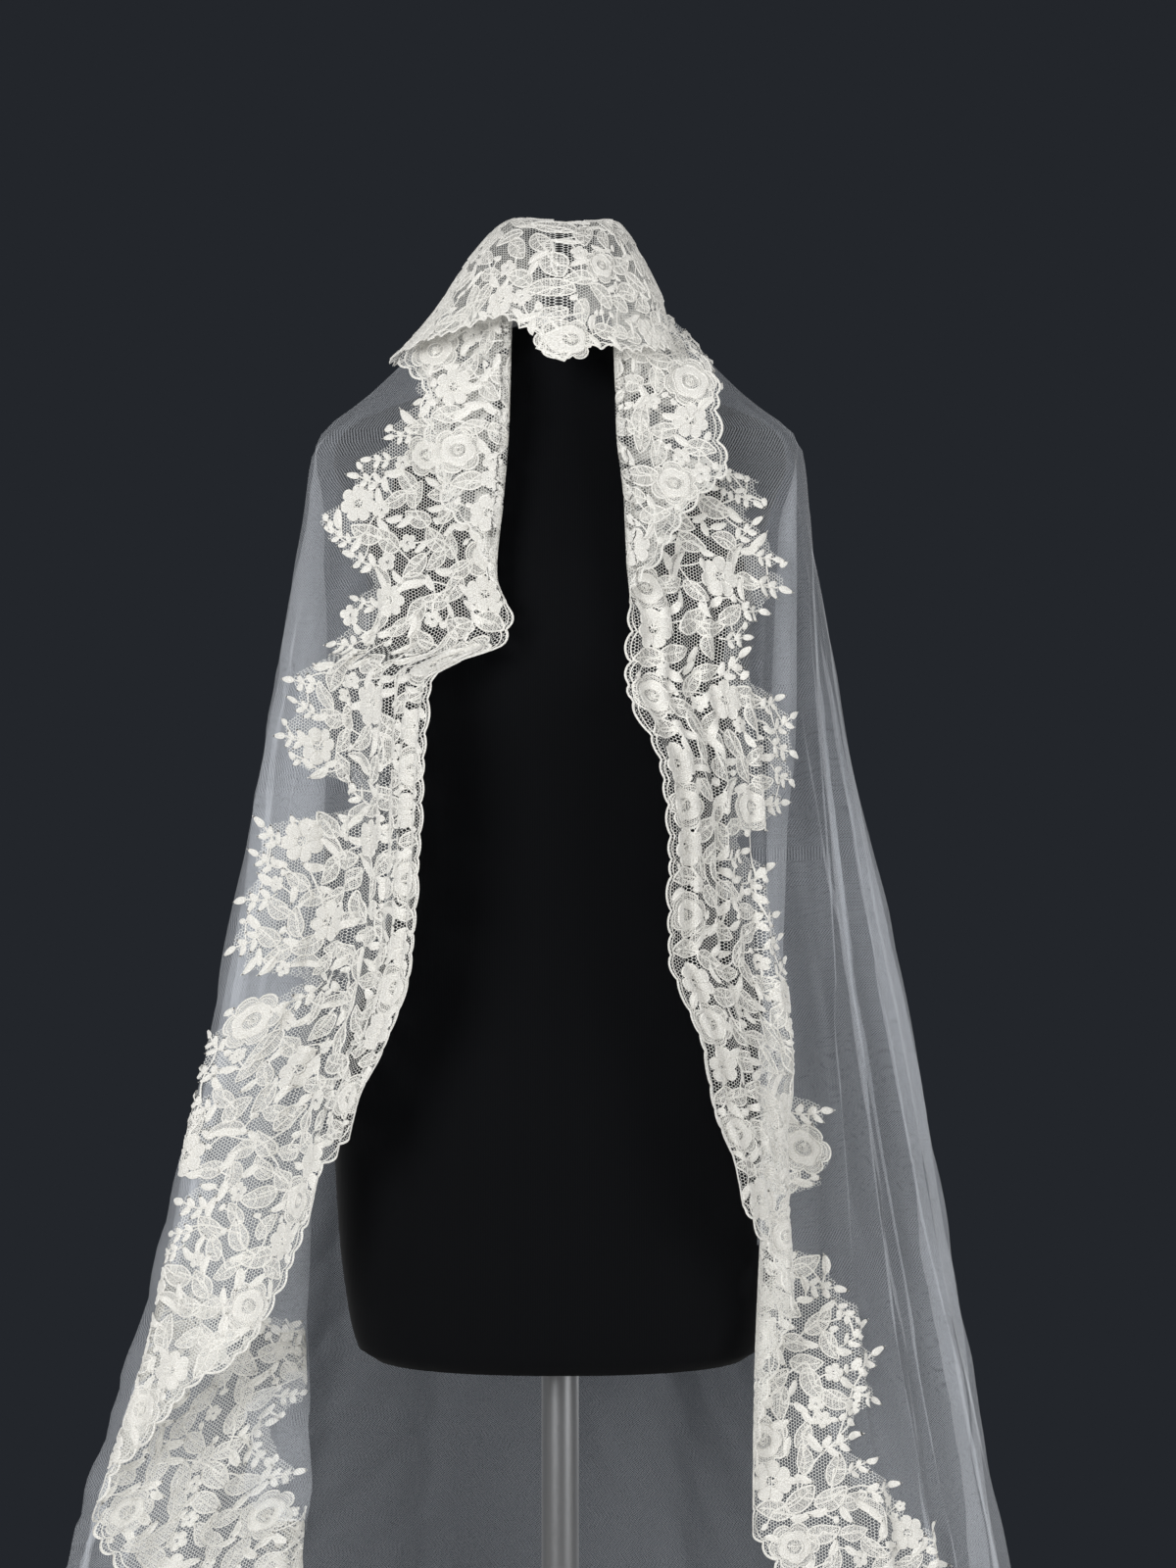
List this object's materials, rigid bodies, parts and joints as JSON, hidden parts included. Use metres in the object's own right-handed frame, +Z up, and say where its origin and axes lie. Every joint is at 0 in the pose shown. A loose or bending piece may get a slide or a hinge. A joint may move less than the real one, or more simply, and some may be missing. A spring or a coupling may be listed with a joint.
{
  "type": "bridal veil on a dress form",
  "caption": "Floor-length bridal veil of soft white tulle with a scalloped floral lace edge, draped over a black limbless dress form on a round stand",
  "frame": {"origin": "centre of the round base's underside, on the floor, straight under the neck of the form", "axes": "+Z up, the open front of the veil faces -Y, +X to the viewer's right"},
  "size_m": [0.9519, 0.5813, 1.5696],
  "materials": {
    "tulle": "sheer fine net, soft",
    "lace": "corded floral lace on net, satin thread",
    "form_cover": "smooth black jersey",
    "stand_metal": "satin",
    "knob": "matte",
    "stand_base": "satin black"
  },
  "bodies": {
    "root": {"tulle_left": "tulle", "tulle_right": "tulle", "lace_crown": "lace", "lace_left_lapel": "lace", "lace_left_front": "lace", "lace_right_lapel": "lace", "lace_right_front": "lace", "form_torso": "form_cover", "form_neck_plate": "stand_metal", "form_knob": "knob", "stand_pole": "stand_metal", "stand_base": "stand_base"}
  },
  "joints": []
}
